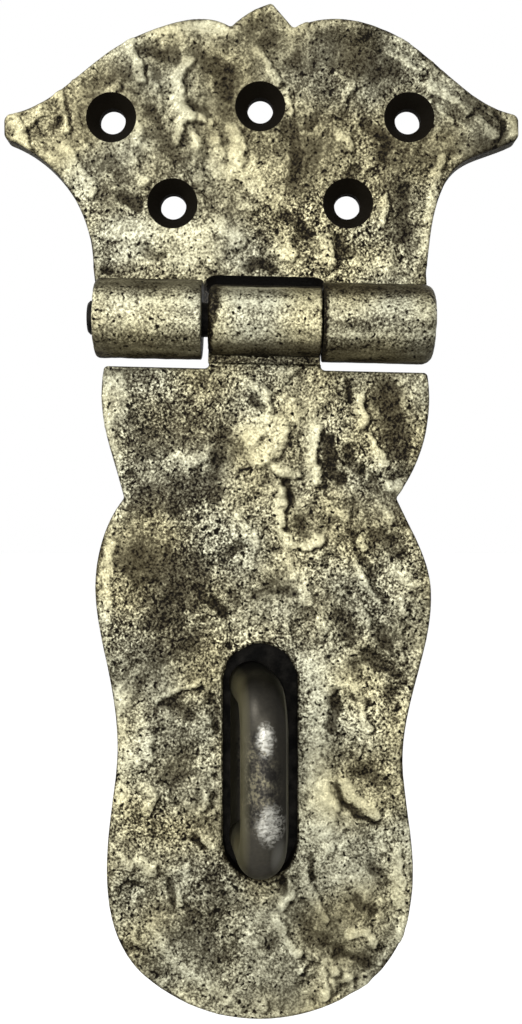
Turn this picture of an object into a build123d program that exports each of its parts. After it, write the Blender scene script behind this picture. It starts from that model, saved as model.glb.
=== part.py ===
from build123d import *
import os
from math import acos, cos, degrees, radians, sin, sqrt

# A locking hasp and staple: an ornamental leaf and a slotted strap, each cut from plate and rolled
# round one hinge pin, and a staple whose bent bar stands out through the slot to take a padlock.
#
# Frame, in millimetres: X to the right, Z up, the door's face at Y = 0 and the front towards -Y.
# The origin is the leaf's middle screw hole, where it meets the door's face.

os.makedirs("parts", exist_ok=True)

# Stock
leaf_thickness = 4.0
strap_thickness = 4.0
leaf_edge_round = 0.6
strap_edge_round = 0.6

# Hinge pin and its fits
pin_radius = 3.0
fast_clearance = 0.02  # the pin sits fast in the leaf's two knuckles
running_clearance = 0.06  # the strap's eye turns on the pin
eye_door_clearance = 0.76  # the strap is drawn thinner where it is rolled, to clear the door
seam_gap = 0.2  # between a rolled end and the plate that it closes on
jog_bend = 3.0  # inside radius where the strap jogs back behind the pin
pin_stub = 1.4  # the pin stands out of the left knuckle by this much
pin_stub_chamfer = 0.4
pin_dome = 0.4  # and is peened to a low dome past the right one

# Hinge line: the pin's axis, hand fitted and a little lower at its right end
hinge_drop = 39.3  # below the middle screw hole
hinge_tilt = 1.2  # degrees
eye_left = 9.1  # the strap's eye, along the axis to each side of the middle screw hole
eye_right = 10.8
left_gap = 1.2  # between the left knuckle and the eye
right_gap = 0.25
left_knuckle_length = 18.8
right_knuckle_length = 19.55
left_end_round = 0.8
right_end_round = 1.8  # hammered over the pin's peened end
eye_left_round = 1.2
inner_end_round = 0.3  # the other ends, inside the hinge

# Leaf outline. Its flanks are given outwards from the root and above the pin's axis
root_left = 30.2
root_right = 30.0
root_rise = 10.0  # from here down to the pin's axis the sides run straight to the knuckles' ends
flank_left = [(0.8, 16.6), (3.7, 23.4), (8.2, 28.9)]
flank_right = [(0.9, 16.9), (2.8, 24.2), (5.7, 28.6), (11.4, 31.4)]
tip_reach_left = 46.3
tip_reach_right = 46.7
tip_drop = 3.6  # the tips' middle below the middle screw hole
tip_half_height = 2.1
tip_round = 1.4
root_round = 4.0

# Leaf outline above the tips, from the middle screw hole
shoulder_left = [(-37.6, 2.1), (-26.5, 10.6), (-17.5, 14.7), (-9.2, 15.9)]
shoulder_right = [(13.4, 16.0), (24.2, 13.2), (34.0, 5.8), (39.6, 1.4)]
valley_left = (-5.3, 14.5)
valley_right = (6.0, 14.3)
finial_left = (-1.4, 17.4)
finial_top = (2.1, 18.8)
valley_round = 0.7
finial_round = 0.8

# Notch in the leaf over the strap's eye
notch_room = 1.3  # over the eye
notch_clearance = 0.4  # each side of the eye
notch_slope = 1.1  # its wall leans back by this much
notch_slope_depth = 3.0
notch_round = 1.6

# Countersunk holes, for 4.5 mm screws
screw_hole_radius = 2.35
countersink_radius = 4.55
countersink_angle = 90
outer_screw_spacing = 53.8
outer_screw_drop = 1.96
lower_screw_spacing = 31.7
lower_screw_drop = 17.5

# Strap outline. Each station is how far it lies below the pin's axis, then how far it reaches left
# and right
shoulder_room = 1.5  # between the knuckles and the shoulders
shoulder_reach = (27.7, 29.7)
above_waist = [(14.4, 28.2, 30.1), (23.0, 26.6, 28.6)]
waist = (31.4, 24.2, 24.2)
waist_flare = (0.8, 0.45)  # outwards for each millimetre down, just below the waist
below_waist = [
    (45.5, 29.3, 30.1),
    (61.4, 27.2, 28.4),
    (76.5, 25.4, 25.4),
    (88.5, 26.7, 26.4),
    (98.0, 27.3, 27.2),
    (106.0, 26.5, 26.3),
]
toe = (116.4, 20.6, 20.5)
strap_length = 124.1
neck_round = 0.8
shoulder_corner_round = 0.8
waist_round = 0.8

# Staple: a bent bar whose legs are riveted through its plate, with a low bar between its feet
staple_bar_radius = 4.0
staple_length = 35.6  # over both legs
shackle_room = 9.0  # between the closed strap and the crown
staple_bend_radius = 6.5  # of the bar's centre line
staple_lean = 7.5  # degrees, the crown leans to the right
staple_left = 1.6  # the feet stand left of the slot's middle
staple_low = 0.5  # and below it
foot_bar_half_width = 3.8
foot_bar_height = 2.2
tenon_radius = 2.5
tenon_clearance = 0.05
rivet_depth = 1.2  # peened at 45 degrees, flush in the plate's back

# Slot in the strap, over the staple
slot_middle_drop = 78.2  # below the pin's axis
slot_side_clearance = 2.6
slot_end_clearance = 3.15
slot_edge_break = 0.4

# Staple plate, hidden behind the closed strap
plate_thickness = 3.0
plate_clearance = 0.3  # between the plate and the closed strap
plate_screw_spacing_x = 28.0
plate_screw_spacing_z = 48.0
plate_margin = 6.5  # round the screws
plate_corner_round = 4.0
plate_edge_chamfer = 0.6

# Worked out from the sizes above
knuckle_bore = pin_radius + fast_clearance
knuckle_radius = knuckle_bore + leaf_thickness
eye_bore = pin_radius + running_clearance
eye_radius = knuckle_radius - eye_door_clearance
notch_rise = eye_radius + notch_room
shoulder_drop = knuckle_radius + shoulder_room
strap_standoff = plate_thickness + plate_clearance
strap_back = knuckle_radius - strap_standoff  # the strap's faces, behind the pin's axis
strap_front = strap_back - strap_thickness
slot_width = 2 * (staple_bar_radius + slot_side_clearance)
slot_length = staple_length + 2 * slot_end_clearance
slot_height = -hinge_drop - slot_middle_drop
staple_height = slot_height - staple_low
leg_spacing = staple_length - 2 * staple_bar_radius
staple_rise = plate_clearance + strap_thickness + shackle_room + 2 * staple_bar_radius
rivet_radius = tenon_radius + rivet_depth

door_face = Plane.XZ
hinge_direction = Vector(cos(radians(hinge_tilt)), 0, -sin(radians(hinge_tilt)))
hinge_up = Vector(sin(radians(hinge_tilt)), 0, cos(radians(hinge_tilt)))
hinge_point = Vector(0, -knuckle_radius, -hinge_drop)
hinge_axis = Axis(hinge_point, hinge_direction)

left_knuckle_end = -eye_left - left_gap
left_knuckle_start = left_knuckle_end - left_knuckle_length
right_knuckle_start = eye_right + right_gap
right_knuckle_end = right_knuckle_start + right_knuckle_length

# Where the rolled plates start and end, in degrees round the pin from the door's side to the top
front_bend = jog_bend + strap_thickness
knuckle_end_angle = degrees(acos((knuckle_bore - seam_gap) / knuckle_radius))
eye_back_angle = -degrees(acos((strap_back + jog_bend) / (eye_radius + jog_bend)))
eye_front_angle = -degrees(acos((strap_front + front_bend) / (eye_bore + front_bend)))
eye_end_angle = 360 - degrees(acos((strap_front - seam_gap) / eye_radius))
neck_drop = -(eye_bore + front_bend) * sin(radians(eye_front_angle))  # the strap is flat from here down


def hinge_plane(along):
    """A plane square to the pin, this far along it. Its x is towards the door and its y is up."""
    return Plane(hinge_point + hinge_direction * along, x_dir=(0, 1, 0), z_dir=hinge_direction)


def above_axis(x, rise):
    """A point of the door's face over x, this far above the pin's axis."""
    return (x, hinge_point.Z + x * hinge_direction.Z / hinge_direction.X + rise)


def polar(radius, angle):
    """A point on a circle round the pin's axis, in a hinge plane."""
    return (radius * cos(radians(angle)), radius * sin(radians(angle)))


def pin_plane(angle):
    """A plane through the pin's axis. Its x runs along the pin and its y points out at this angle."""
    turn = radians(angle)
    return Plane(hinge_point, x_dir=hinge_direction, z_dir=hinge_up * cos(turn) - Vector(0, sin(turn), 0))


def end_corner(end, into, size, radius):
    """Section of what is worn off the outer edge of a rolled knuckle, in a plane through the pin.
    The end is at this place along the pin and the metal lies to this side of it."""
    low = radius - size
    bulge = size * (1 - sqrt(0.5))
    with BuildSketch() as section:
        with BuildLine():
            ThreePointArc((end, low), (end + into * bulge, radius - bulge), (end + into * size, radius))
            Polyline(
                (end + into * size, radius),
                (end + into * size, radius + size),
                (end - into * size, radius + size),
                (end - into * size, low),
                (end, low),
            )
        make_face()
    return section.sketch


def leaf_curl():
    """Section of the leaf's rolled edge. The plate comes down at the back and curls forward, up and
    back until the end closes on the plate's own front."""
    stub = leaf_thickness / 2
    with BuildSketch() as section:
        with BuildLine():
            Line((knuckle_radius, stub), (knuckle_radius, 0))
            CenterArc((0, 0), knuckle_radius, 0, knuckle_end_angle - 360)
            Line(polar(knuckle_radius, knuckle_end_angle), polar(knuckle_bore, knuckle_end_angle))
            CenterArc((0, 0), knuckle_bore, knuckle_end_angle, 360 - knuckle_end_angle)
            Polyline((knuckle_bore, 0), (knuckle_bore, stub), (knuckle_radius, stub))
        make_face()
    return section.sketch


def strap_curl():
    """Section of the strap's rolled eye. The strap jogs back behind the pin and curls over its top
    and down its front until the end closes on the strap's own front."""
    back_centre = polar(eye_radius + jog_bend, eye_back_angle)
    front_centre = polar(eye_bore + front_bend, eye_front_angle)
    with BuildSketch() as section:
        with BuildLine():
            Line((strap_back, -neck_drop), (strap_back, back_centre[1]))
            CenterArc(back_centre, jog_bend, 180, eye_back_angle)
            CenterArc((0, 0), eye_radius, eye_back_angle, eye_end_angle - eye_back_angle)
            Line(polar(eye_radius, eye_end_angle), polar(eye_bore, eye_end_angle))
            CenterArc((0, 0), eye_bore, eye_end_angle, eye_front_angle - eye_end_angle)
            CenterArc(front_centre, front_bend, 180 + eye_front_angle, -eye_front_angle)
            Line((strap_front, -neck_drop), (strap_back, -neck_drop))
        make_face()
    return section.sketch


def leaf_flank(points, root, side):
    """One concave flank, from the root upwards. The side is -1 on the left and 1 on the right."""
    return [(side * (root + out), -hinge_drop + rise) for out, rise in points]


def leaf_outline():
    """The leaf flat on the door, down to the pin's axis."""
    left_low = (-tip_reach_left, -tip_drop - tip_half_height)
    left_high = (-tip_reach_left, -tip_drop + tip_half_height)
    right_low = (tip_reach_right, -tip_drop - tip_half_height)
    right_high = (tip_reach_right, -tip_drop + tip_half_height)
    root_l = above_axis(-root_left, root_rise)
    root_r = above_axis(root_right, root_rise)
    with BuildSketch() as outline:
        with BuildLine():
            Line(above_axis(left_knuckle_start, 0), root_l)
            Spline(root_l, *leaf_flank(flank_left, root_left, -1), left_low)
            Line(left_low, left_high)
            Spline(left_high, *shoulder_left, valley_left)
            Spline(valley_left, finial_left, finial_top)
            Line(finial_top, valley_right)
            Spline(valley_right, *shoulder_right, right_high)
            Line(right_high, right_low)
            Spline(right_low, *reversed(leaf_flank(flank_right, root_right, 1)), root_r)
            Polyline(root_r, above_axis(right_knuckle_end, 0), above_axis(left_knuckle_start, 0))
        make_face()
        rounded = {
            finial_top: finial_round,
            valley_left: valley_round,
            valley_right: valley_round,
            left_low: tip_round,
            left_high: tip_round,
            right_low: tip_round,
            right_high: tip_round,
            root_l: root_round,
            root_r: root_round,
        }
        for corner, size in rounded.items():
            fillet(outline.vertices().sort_by_distance(corner)[0], size)
    return outline.sketch


with BuildPart() as fixed_leaf:
    with BuildSketch(door_face):
        add(leaf_outline())
    extrude(amount=leaf_thickness)
    fillet(faces().sort_by(Axis.Y)[0].edges().sort_by(Axis.Z)[1:], leaf_edge_round)
    with BuildSketch(door_face):
        left, right = -eye_left - notch_clearance, eye_right + notch_clearance
        top = [above_axis(left, notch_rise), above_axis(right, notch_rise)]
        with BuildLine():
            Polyline(*top, above_axis(right, -notch_rise), above_axis(left, -notch_rise), close=True)
        notch = make_face()
        fillet([notch.vertices().sort_by_distance(corner)[0] for corner in top], notch_round)
    extrude(amount=leaf_thickness, mode=Mode.SUBTRACT)
    front_face = faces().sort_by(Axis.Y)[0]
    notch_edge = front_face.edges().sort_by_distance((0, -leaf_thickness, -hinge_drop + notch_rise))[0]
    chamfer(notch_edge, notch_slope, notch_slope_depth, reference=front_face)
    with BuildSketch(hinge_plane(left_knuckle_start)):
        add(leaf_curl())
    extrude(amount=left_knuckle_length)
    with BuildSketch(hinge_plane(right_knuckle_start)):
        add(leaf_curl())
    extrude(amount=right_knuckle_length)
    for end, into, size in (
        (left_knuckle_start, 1, left_end_round),
        (left_knuckle_end, -1, inner_end_round),
        (right_knuckle_start, 1, inner_end_round),
        (right_knuckle_end, -1, right_end_round),
    ):
        with BuildSketch(pin_plane(knuckle_end_angle)):
            add(end_corner(end, into, size, knuckle_radius))
        revolve(axis=hinge_axis, revolution_arc=360 - knuckle_end_angle, mode=Mode.SUBTRACT)
    with Locations(door_face.offset(leaf_thickness)):
        with Locations(
            (0, 0),
            (-outer_screw_spacing / 2, -outer_screw_drop),
            (outer_screw_spacing / 2, -outer_screw_drop),
            (-lower_screw_spacing / 2, -lower_screw_drop),
            (lower_screw_spacing / 2, -lower_screw_drop),
        ):
            CounterSinkHole(screw_hole_radius, countersink_radius, counter_sink_angle=countersink_angle)

fixed_leaf.part.label = "fixed_leaf"
export_step(fixed_leaf.part, "parts/fixed_leaf.step")


def strap_station(station, side):
    """A point of the strap's outline. The side is 0 on the left and 1 on the right."""
    drop, *reach = station
    return (reach[side] * (2 * side - 1), -hinge_drop - drop)


def strap_outline():
    """The flat of the strap, with the short neck that leads to its eye."""
    shoulders = [above_axis(side, -shoulder_drop) for side in (-shoulder_reach[0], shoulder_reach[1])]
    neck_feet = [above_axis(end, -shoulder_drop) for end in (-eye_left, eye_right)]
    neck_tops = [above_axis(end, -neck_drop) for end in (-eye_left, eye_right)]
    waists = [strap_station(waist, side) for side in (0, 1)]
    toes = [strap_station(toe, side) for side in (0, 1)]
    with BuildSketch() as outline:
        with BuildLine():
            toe_arc = ThreePointArc(toes[0], (0, -hinge_drop - strap_length), toes[1])
            toe_tangents = [toe_arc % 0, -(toe_arc % 1)]
            for side, outwards in ((0, -1), (1, 1)):
                chest = [strap_station(station, side) for station in above_waist]
                hips = [strap_station(station, side) for station in below_waist]
                Spline(shoulders[side], *chest, waists[side])
                Spline(
                    waists[side],
                    *hips,
                    toes[side],
                    tangents=[(outwards * waist_flare[side], -1), toe_tangents[side]],
                    tangent_scalars=(1, 1),
                )
            Polyline(shoulders[0], neck_feet[0], neck_tops[0], neck_tops[1], neck_feet[1], shoulders[1])
        make_face()
        rounded = (shoulders, shoulder_corner_round), (waists, waist_round), (neck_feet, neck_round)
        for corners, size in rounded:
            for corner in corners:
                fillet(outline.vertices().sort_by_distance(corner)[0], size)
    return outline.sketch


with BuildPart() as hasp_strap:
    with BuildSketch(door_face.offset(strap_standoff)):
        add(strap_outline())
    extrude(amount=strap_thickness)
    fillet(faces().sort_by(Axis.Y)[0].edges().sort_by(Axis.Z)[:-1], strap_edge_round)
    with BuildSketch(hinge_plane(-eye_left)):
        add(strap_curl())
    extrude(amount=eye_left + eye_right)
    for end, into, size in ((-eye_left, 1, eye_left_round), (eye_right, -1, inner_end_round)):
        with BuildSketch(pin_plane(eye_back_angle)):
            add(end_corner(end, into, size, eye_radius))
        revolve(axis=hinge_axis, revolution_arc=eye_end_angle - eye_back_angle, mode=Mode.SUBTRACT)
    with BuildSketch(door_face.offset(strap_standoff)):
        with Locations((0, slot_height)):
            SlotOverall(slot_length, slot_width, rotation=90)
    extrude(amount=strap_thickness, mode=Mode.SUBTRACT)
    chamfer(faces().filter_by(Axis.Y).sort_by(Axis.Y)[0].inner_wires()[0].edges(), slot_edge_break)

hasp_strap.part.label = "hasp_strap"
export_step(hasp_strap.part, "parts/hasp_strap.step")

with BuildPart() as hinge_pin:
    left_end = left_knuckle_start - pin_stub
    right_end = right_knuckle_end + pin_dome
    cap_radius = (pin_radius**2 + pin_dome**2) / (2 * pin_dome)
    cap_sag = cap_radius - sqrt(cap_radius**2 - (pin_radius / 2) ** 2)
    with BuildSketch(pin_plane(0)):
        with BuildLine():
            Polyline(
                (right_end, 0),
                (left_end, 0),
                (left_end, pin_radius - pin_stub_chamfer),
                (left_end + pin_stub_chamfer, pin_radius),
                (right_knuckle_end, pin_radius),
            )
            dome_middle = (right_end - cap_sag, pin_radius / 2)
            ThreePointArc((right_knuckle_end, pin_radius), dome_middle, (right_end, 0))
        make_face()
    revolve(axis=hinge_axis)

hinge_pin.part.label = "hinge_pin"
export_step(hinge_pin.part, "parts/hinge_pin.step")

loop_plane = Plane(
    (-staple_left, -plate_thickness, staple_height),
    x_dir=(0, 0, 1),
    z_dir=(cos(radians(staple_lean)), sin(radians(staple_lean)), 0),
)
leg_places = [(-staple_left, staple_height + side * leg_spacing / 2) for side in (-1, 1)]

with BuildPart() as staple_loop:
    crown = (staple_rise - staple_bar_radius) / cos(radians(staple_lean))
    sunk = -staple_bar_radius / 2
    with BuildLine(loop_plane) as bar:
        FilletPolyline(
            (-leg_spacing / 2, sunk),
            (-leg_spacing / 2, crown),
            (leg_spacing / 2, crown),
            (leg_spacing / 2, sunk),
            radius=staple_bend_radius,
        )
    with BuildSketch(Plane(bar.line @ 0, z_dir=bar.line % 0)):
        Circle(staple_bar_radius)
    sweep()
    split(bisect_by=door_face.offset(plate_thickness), keep=Keep.TOP)
    with BuildSketch(Plane.XY.offset(staple_height - leg_spacing / 2)):
        with BuildLine():
            Line(
                (-staple_left - foot_bar_half_width, -plate_thickness),
                (-staple_left + foot_bar_half_width, -plate_thickness),
            )
            ThreePointArc(
                (-staple_left - foot_bar_half_width, -plate_thickness),
                (-staple_left, -plate_thickness - foot_bar_height),
                (-staple_left + foot_bar_half_width, -plate_thickness),
            )
        make_face()
    extrude(amount=leg_spacing)
    with BuildSketch(door_face):
        with Locations(*leg_places):
            Circle(tenon_radius)
    extrude(amount=plate_thickness + staple_bar_radius / 2)
    with BuildSketch(door_face):
        with Locations(*leg_places):
            Circle(rivet_radius)
    extrude(amount=rivet_depth, taper=45)

staple_loop.part.label = "staple_loop"
export_step(staple_loop.part, "parts/staple_loop.step")

with BuildPart() as staple_plate:
    with BuildSketch(door_face):
        with Locations((0, slot_height)):
            RectangleRounded(
                plate_screw_spacing_x + 2 * plate_margin,
                plate_screw_spacing_z + 2 * plate_margin,
                plate_corner_round,
            )
    extrude(amount=plate_thickness)
    chamfer(faces().sort_by(Axis.Y)[0].edges(), plate_edge_chamfer)
    with Locations(door_face.offset(plate_thickness)):
        with Locations((0, slot_height)):
            with GridLocations(plate_screw_spacing_x, plate_screw_spacing_z, 2, 2):
                CounterSinkHole(screw_hole_radius, countersink_radius, counter_sink_angle=countersink_angle)
    with BuildSketch(door_face):
        with Locations(*leg_places):
            Circle(tenon_radius + tenon_clearance)
    extrude(amount=plate_thickness, mode=Mode.SUBTRACT)
    with BuildSketch(door_face):
        with Locations(*leg_places):
            Circle(rivet_radius + tenon_clearance)
    extrude(amount=rivet_depth, taper=45, mode=Mode.SUBTRACT)

staple_plate.part.label = "staple_plate"
export_step(staple_plate.part, "parts/staple_plate.step")
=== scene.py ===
import math
from types import SimpleNamespace

import bmesh
import bpy
import numpy as np
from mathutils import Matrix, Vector
from mathutils.geometry import delaunay_2d_cdt
from mathutils.kdtree import KDTree


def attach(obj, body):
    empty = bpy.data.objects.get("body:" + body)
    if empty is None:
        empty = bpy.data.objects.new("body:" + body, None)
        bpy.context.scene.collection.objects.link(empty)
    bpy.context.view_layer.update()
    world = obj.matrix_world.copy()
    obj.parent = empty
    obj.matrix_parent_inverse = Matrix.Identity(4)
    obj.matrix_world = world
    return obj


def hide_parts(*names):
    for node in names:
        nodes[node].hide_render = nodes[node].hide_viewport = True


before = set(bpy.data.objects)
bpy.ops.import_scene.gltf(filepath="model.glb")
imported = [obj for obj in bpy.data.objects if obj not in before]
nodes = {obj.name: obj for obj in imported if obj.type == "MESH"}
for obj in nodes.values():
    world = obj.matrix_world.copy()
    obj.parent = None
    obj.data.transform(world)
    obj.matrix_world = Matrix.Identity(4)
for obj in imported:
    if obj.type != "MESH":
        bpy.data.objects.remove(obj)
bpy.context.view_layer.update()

# The looks of an antique locking hasp. Sizes in this script are millimetres unless a name says
# otherwise; Blender's own are metres. X is to the right, Z up, and the front looks along -Y.
MM = 0.001

# The camera, where the photograph was taken from
EYE = np.array([0.144, -207.3, -73.2])
FOCAL_PX = 1126.76
FRAME_PX = (522, 1024)

# Places of the object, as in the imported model
LEAF_FRONT = -4.0
STRAP_FRONT = -7.3
PIN = np.array([0.0, -7.02, -39.3])
PIN_SLOPE = -math.tan(math.radians(1.2))  # of the pin's height over x
KNUCKLE_RADIUS = 7.02
EYE_RADIUS = 6.26
EYE_ENDS = (-9.1, 10.8)  # of the strap's eye, along X
ROLL_ENDS = (-30, 31)  # all the rolled parts lie between these
NOTCH_MIDDLE = 0.85  # of the leaf's notch over the eye, along X
NOTCH_HALF = 10.35
NOTCH_RISE = 8.66  # its upper edge, above the pin's axis
HOLES = [(0.0, 0.0), (-26.9, -1.96), (26.9, -1.96), (-15.85, -17.5), (15.85, -17.5)]
COUNTERSINK = 4.55
SLOT_MIDDLE = (0.0, -117.5)
SLOT_HALF = (6.6, 20.95)  # across and upright
SLOT_BREAK = 0.4  # its broken edge

FINE = 0.32  # spacing of the relief's points on the fronts
COARSE = 0.6  # and of the cuts across the rolled parts


# Small numeric helpers

def smooth(low, high, value):
    """0 at low, 1 at high, and a smooth step between. Low may be the larger of the two."""
    t = np.clip((value - low) / (high - low), 0, 1)
    return t * t * (3 - 2 * t)


def gradient_noise(x, z, size, seed):
    """Smooth noise over a plane, about -1 to 1, with features of this size. Its grid is turned by the
    seed, and moved so that the origin is at none of its corners."""
    rng = np.random.default_rng(seed)
    count = 256
    turns = rng.uniform(0, 2 * math.pi, (count, count))
    gx, gz = np.cos(turns), np.sin(turns)
    turn = 0.6 + 1.9 * seed
    u = (x * math.cos(turn) - z * math.sin(turn)) / size + 57.3
    v = (x * math.sin(turn) + z * math.cos(turn)) / size + 91.7
    i, k = np.floor(u).astype(int), np.floor(v).astype(int)
    fu, fv = u - i, v - k
    wu, wv = (f * f * f * (f * (f * 6 - 15) + 10) for f in (fu, fv))

    def corner(di, dk):
        a, b = (i + di) % count, (k + dk) % count
        return gx[a, b] * (fu - di) + gz[a, b] * (fv - dk)

    low = corner(0, 0) * (1 - wu) + corner(1, 0) * wu
    high = corner(0, 1) * (1 - wu) + corner(1, 1) * wu
    return 1.5 * (low * (1 - wv) + high * wv)


def layered_noise(x, z, size, seed, layers=3):
    """Noise in layers, each half as large and half as strong as the one before."""
    total = 0
    for n in range(layers):
        total = total + gradient_noise(x, z, size / 2**n, seed + n) / 2**n
    return total


def wavering(x, z, *layers, seed):
    """The points, moved by layers of noise. Each layer is how far it moves them and its size."""
    moved = []
    for place in (x, z):
        for reach, size in layers:
            place = place + reach * gradient_noise(x, z, size, seed)
            seed += 1
        moved.append(place)
    return moved


def above_pin(x, z):
    """How far a place lies above the pin's axis."""
    return z - PIN[2] - x * PIN_SLOPE


def photo_to_plate(points, front):
    """Pixels of the photograph, laid on a plate's front."""
    depth = front - EYE[1]
    wide, high = FRAME_PX
    return [
        (EYE[0] + (px - wide / 2) * depth / FOCAL_PX, EYE[2] + (high / 2 - py) * depth / FOCAL_PX)
        for px, py in points
    ]


def near_line(x, z, line):
    """Distance of each point from a line through a few points."""
    nearest = np.full(len(x), 1e9)
    for (ax, az), (bx, bz) in zip(line, line[1:]):
        dx, dz = bx - ax, bz - az
        t = np.clip(((x - ax) * dx + (z - az) * dz) / (dx * dx + dz * dz), 0, 1)
        nearest = np.minimum(nearest, np.hypot(x - ax - t * dx, z - az - t * dz))
    return nearest


# What the hammer and the rubbed-on brass left on the fronts. Each mark is a line through pixels of
# the photograph, its half width in pixels, how far it stands up or lies in (-1 to 1) and how pale or
# dark it is rubbed (-1 to 1).
LEAF_MARKS = [
    ([(128, 44), (137, 60), (140, 78)], 5.5, 0.7, 0.65),
    ([(187, 62), (176, 80), (178, 100), (188, 116)], 6.5, 0.7, 0.6),
    ([(180, 122), (177, 140)], 4, 0.6, 0.5),
    ([(58, 92), (64, 110), (66, 131)], 4, 0.8, 0.5),
    ([(257, 50), (268, 64), (277, 82)], 4, 0.6, 0.5),
    ([(232, 130), (240, 148), (236, 160)], 8, 0.5, 0.6),
    ([(214, 140), (222, 155)], 6, 0.3, 0.5),
    ([(285, 92), (291, 112)], 4, 0.5, 0.6),
    ([(335, 70), (350, 84), (346, 100)], 3, 0.6, 0.4),
    ([(340, 134), (352, 146)], 4.5, 0.7, 0.7),
    ([(385, 50), (402, 60), (420, 72)], 4, 0.8, 0.5),
    ([(430, 86), (447, 96), (468, 110)], 4.5, 0.8, 0.6),
    ([(478, 118), (494, 136)], 5, 0.6, 0.7),
    ([(442, 156), (431, 200), (426, 250)], 4, 0.4, 0.6),
    ([(66, 150), (78, 170), (90, 190)], 7, 0.5, 0.6),
    ([(110, 232), (150, 226), (200, 235)], 11, 0.2, 0.5),
    ([(120, 256), (190, 262)], 7, 0.2, 0.5),
    ([(216, 225), (240, 240)], 8, 0.3, 0.5),
    ([(276, 250), (292, 256)], 6, 0.7, 0.7),
    ([(322, 238), (332, 252), (330, 266)], 4.5, 0.8, 0.6),
    ([(228, 172), (262, 188), (280, 205)], 9, 0.2, 0.4),
    ([(200, 108), (212, 122)], 4, 0.5, 0.4),
    ([(100, 98), (118, 84)], 3, 0.5, 0.4),
    ([(385, 195), (381, 225)], 3.5, 0.6, 0.5),
    ([(145, 50), (175, 56)], 8, -0.4, -0.5),
    ([(200, 56), (225, 70), (228, 92)], 8, -0.5, -0.5),
    ([(190, 104), (208, 114)], 4, -0.6, -0.7),
    ([(105, 158), (122, 175)], 8, -0.4, -0.4),
    ([(121, 196), (138, 204)], 6, -0.9, -0.8),
    ([(147, 252), (162, 256)], 5, -0.9, -0.8),
    ([(106, 270), (109, 272)], 4, -1.0, -1.0),
    ([(290, 125), (298, 150), (292, 180)], 7, -0.4, -0.5),
    ([(318, 112), (310, 128)], 4, -0.5, -0.6),
    ([(366, 124), (386, 140), (384, 158)], 7, -0.5, -0.7),
    ([(402, 190), (403, 215), (400, 236)], 9, -0.4, -0.55),
    ([(282, 214), (298, 222), (312, 232), (300, 240)], 5, -0.6, -0.6),
    ([(338, 240), (352, 252)], 6, -0.7, -0.7),
    ([(320, 36), (352, 34), (380, 46)], 8, -0.2, -0.3),
    ([(60, 120), (50, 128)], 4, -0.4, -0.5),
    ([(496, 112), (504, 122), (500, 134)], 2.5, -0.7, -0.9),
    ([(252, 266), (262, 262), (270, 268)], 6, -0.8, -0.8),
    ([(355, 165), (350, 180)], 4, -0.4, -0.6),
    ([(150, 110), (160, 125)], 5, -0.4, -0.6),
    ([(185, 117), (203, 118)], 4, 0.5, 0.5),
    ([(95, 88), (112, 76), (132, 70)], 12, 0.0, -0.3),
    ([(205, 62), (230, 80), (226, 100)], 14, 0.0, -0.25),
    ([(160, 136), (176, 158)], 9, -0.1, -0.35),
    ([(84, 166), (100, 190), (112, 214)], 11, 0.0, -0.22),
    ([(262, 20), (262, 40)], 12, 0.0, -0.3),
    ([(300, 60), (340, 50), (372, 66)], 15, 0.0, -0.25),
    ([(310, 88), (350, 108)], 13, 0.0, -0.2),
    ([(387, 70), (398, 72)], 6, -0.3, -0.4),
    ([(312, 150), (300, 190)], 14, 0.0, -0.28),
    ([(385, 150), (425, 165)], 13, 0.0, -0.18),
    ([(470, 104), (500, 140), (480, 152)], 9, 0.0, -0.35),
    ([(513, 118), (514, 132)], 5, 0.2, 0.3),
    ([(150, 31), (190, 24), (225, 30)], 6, 0.1, 0.5),
    ([(130, 240), (210, 250)], 13, 0.0, 0.3),
    ([(216, 160), (246, 164)], 12, 0.1, 0.35),
    ([(282, 242), (296, 262)], 8, 0.3, 0.5),
    ([(316, 242), (328, 260)], 7, 0.3, 0.5),
    ([(303, 228), (316, 248)], 5, -0.4, -0.5),
    ([(337, 238), (340, 256)], 4, -0.6, -0.7),
    ([(358, 262), (390, 268)], 7, 0.2, 0.45),
]
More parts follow.
